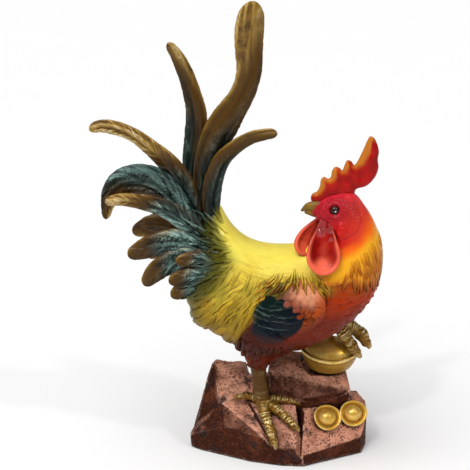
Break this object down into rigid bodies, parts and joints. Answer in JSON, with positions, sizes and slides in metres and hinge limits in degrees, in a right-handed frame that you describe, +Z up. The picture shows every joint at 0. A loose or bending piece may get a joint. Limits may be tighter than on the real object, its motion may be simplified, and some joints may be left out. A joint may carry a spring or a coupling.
{
  "type": "rooster figurine",
  "caption": "Painted cast-resin rooster ornament with a fanned tail, looking back over its shoulder, on a faceted rock with a foot raised on a gold ingot.",
  "frame": {"origin": "on the underside of the soft sheet under the rock, below the middle of the body", "axes": "+Z up; +X the way the breast faces; -Y the near side, which shows the side of the head and the standing leg"},
  "size_m": [0.2405, 0.097, 0.3898],
  "materials": {
    "rock_paint": "copper paint with black speckle on cast resin",
    "foam": "thin dark foam sheet",
    "body_paint": "airbrushed yellow, orange and dark red paint on cast resin, satin",
    "comb_paint": "glossy red",
    "beak_paint": "brown, satin",
    "eye_bead": "polished black",
    "wing_paint": "blue-green primaries, pink and orange coverts, satin",
    "tail_paint": "teal with dry-brushed ridges, satin",
    "bronze_paint": "bronze over teal, satin",
    "leg_paint": "antique gold paint",
    "gold_paint": "satin gold paint",
    "steel": "plain drawn rod"
  },
  "bodies": {
    "root": {"base_pad": "foam", "rock": "rock_paint", "body": "body_paint", "comb": "comb_paint", "beak": "beak_paint", "wattle_near": "comb_paint", "wattle_far": "comb_paint", "eye_near": "eye_bead", "eye_far": "eye_bead", "wing_near": "wing_paint", "wing_far": "wing_paint", "sickle_tall": "bronze_paint", "sickle_second": "bronze_paint", "sickle_front": "tail_paint", "sickle_gold": "bronze_paint", "sickle_hook": "tail_paint", "sickle_low": "tail_paint", "sickle_behind": "tail_paint", "covert_top_near": "tail_paint", "covert_top_far": "tail_paint", "covert_hook_near": "tail_paint", "covert_hook_far": "tail_paint", "covert_mid_near": "tail_paint", "covert_low_near": "tail_paint", "covert_low_far": "tail_paint", "covert_last_near": "tail_paint", "leg_standing": "leg_paint", "leg_raised": "leg_paint", "leg_rod": "steel", "ingot_pin": "steel", "ingot_large": "gold_paint", "ingot_small_left": "gold_paint", "ingot_small_right": "gold_paint"}
  },
  "joints": []
}
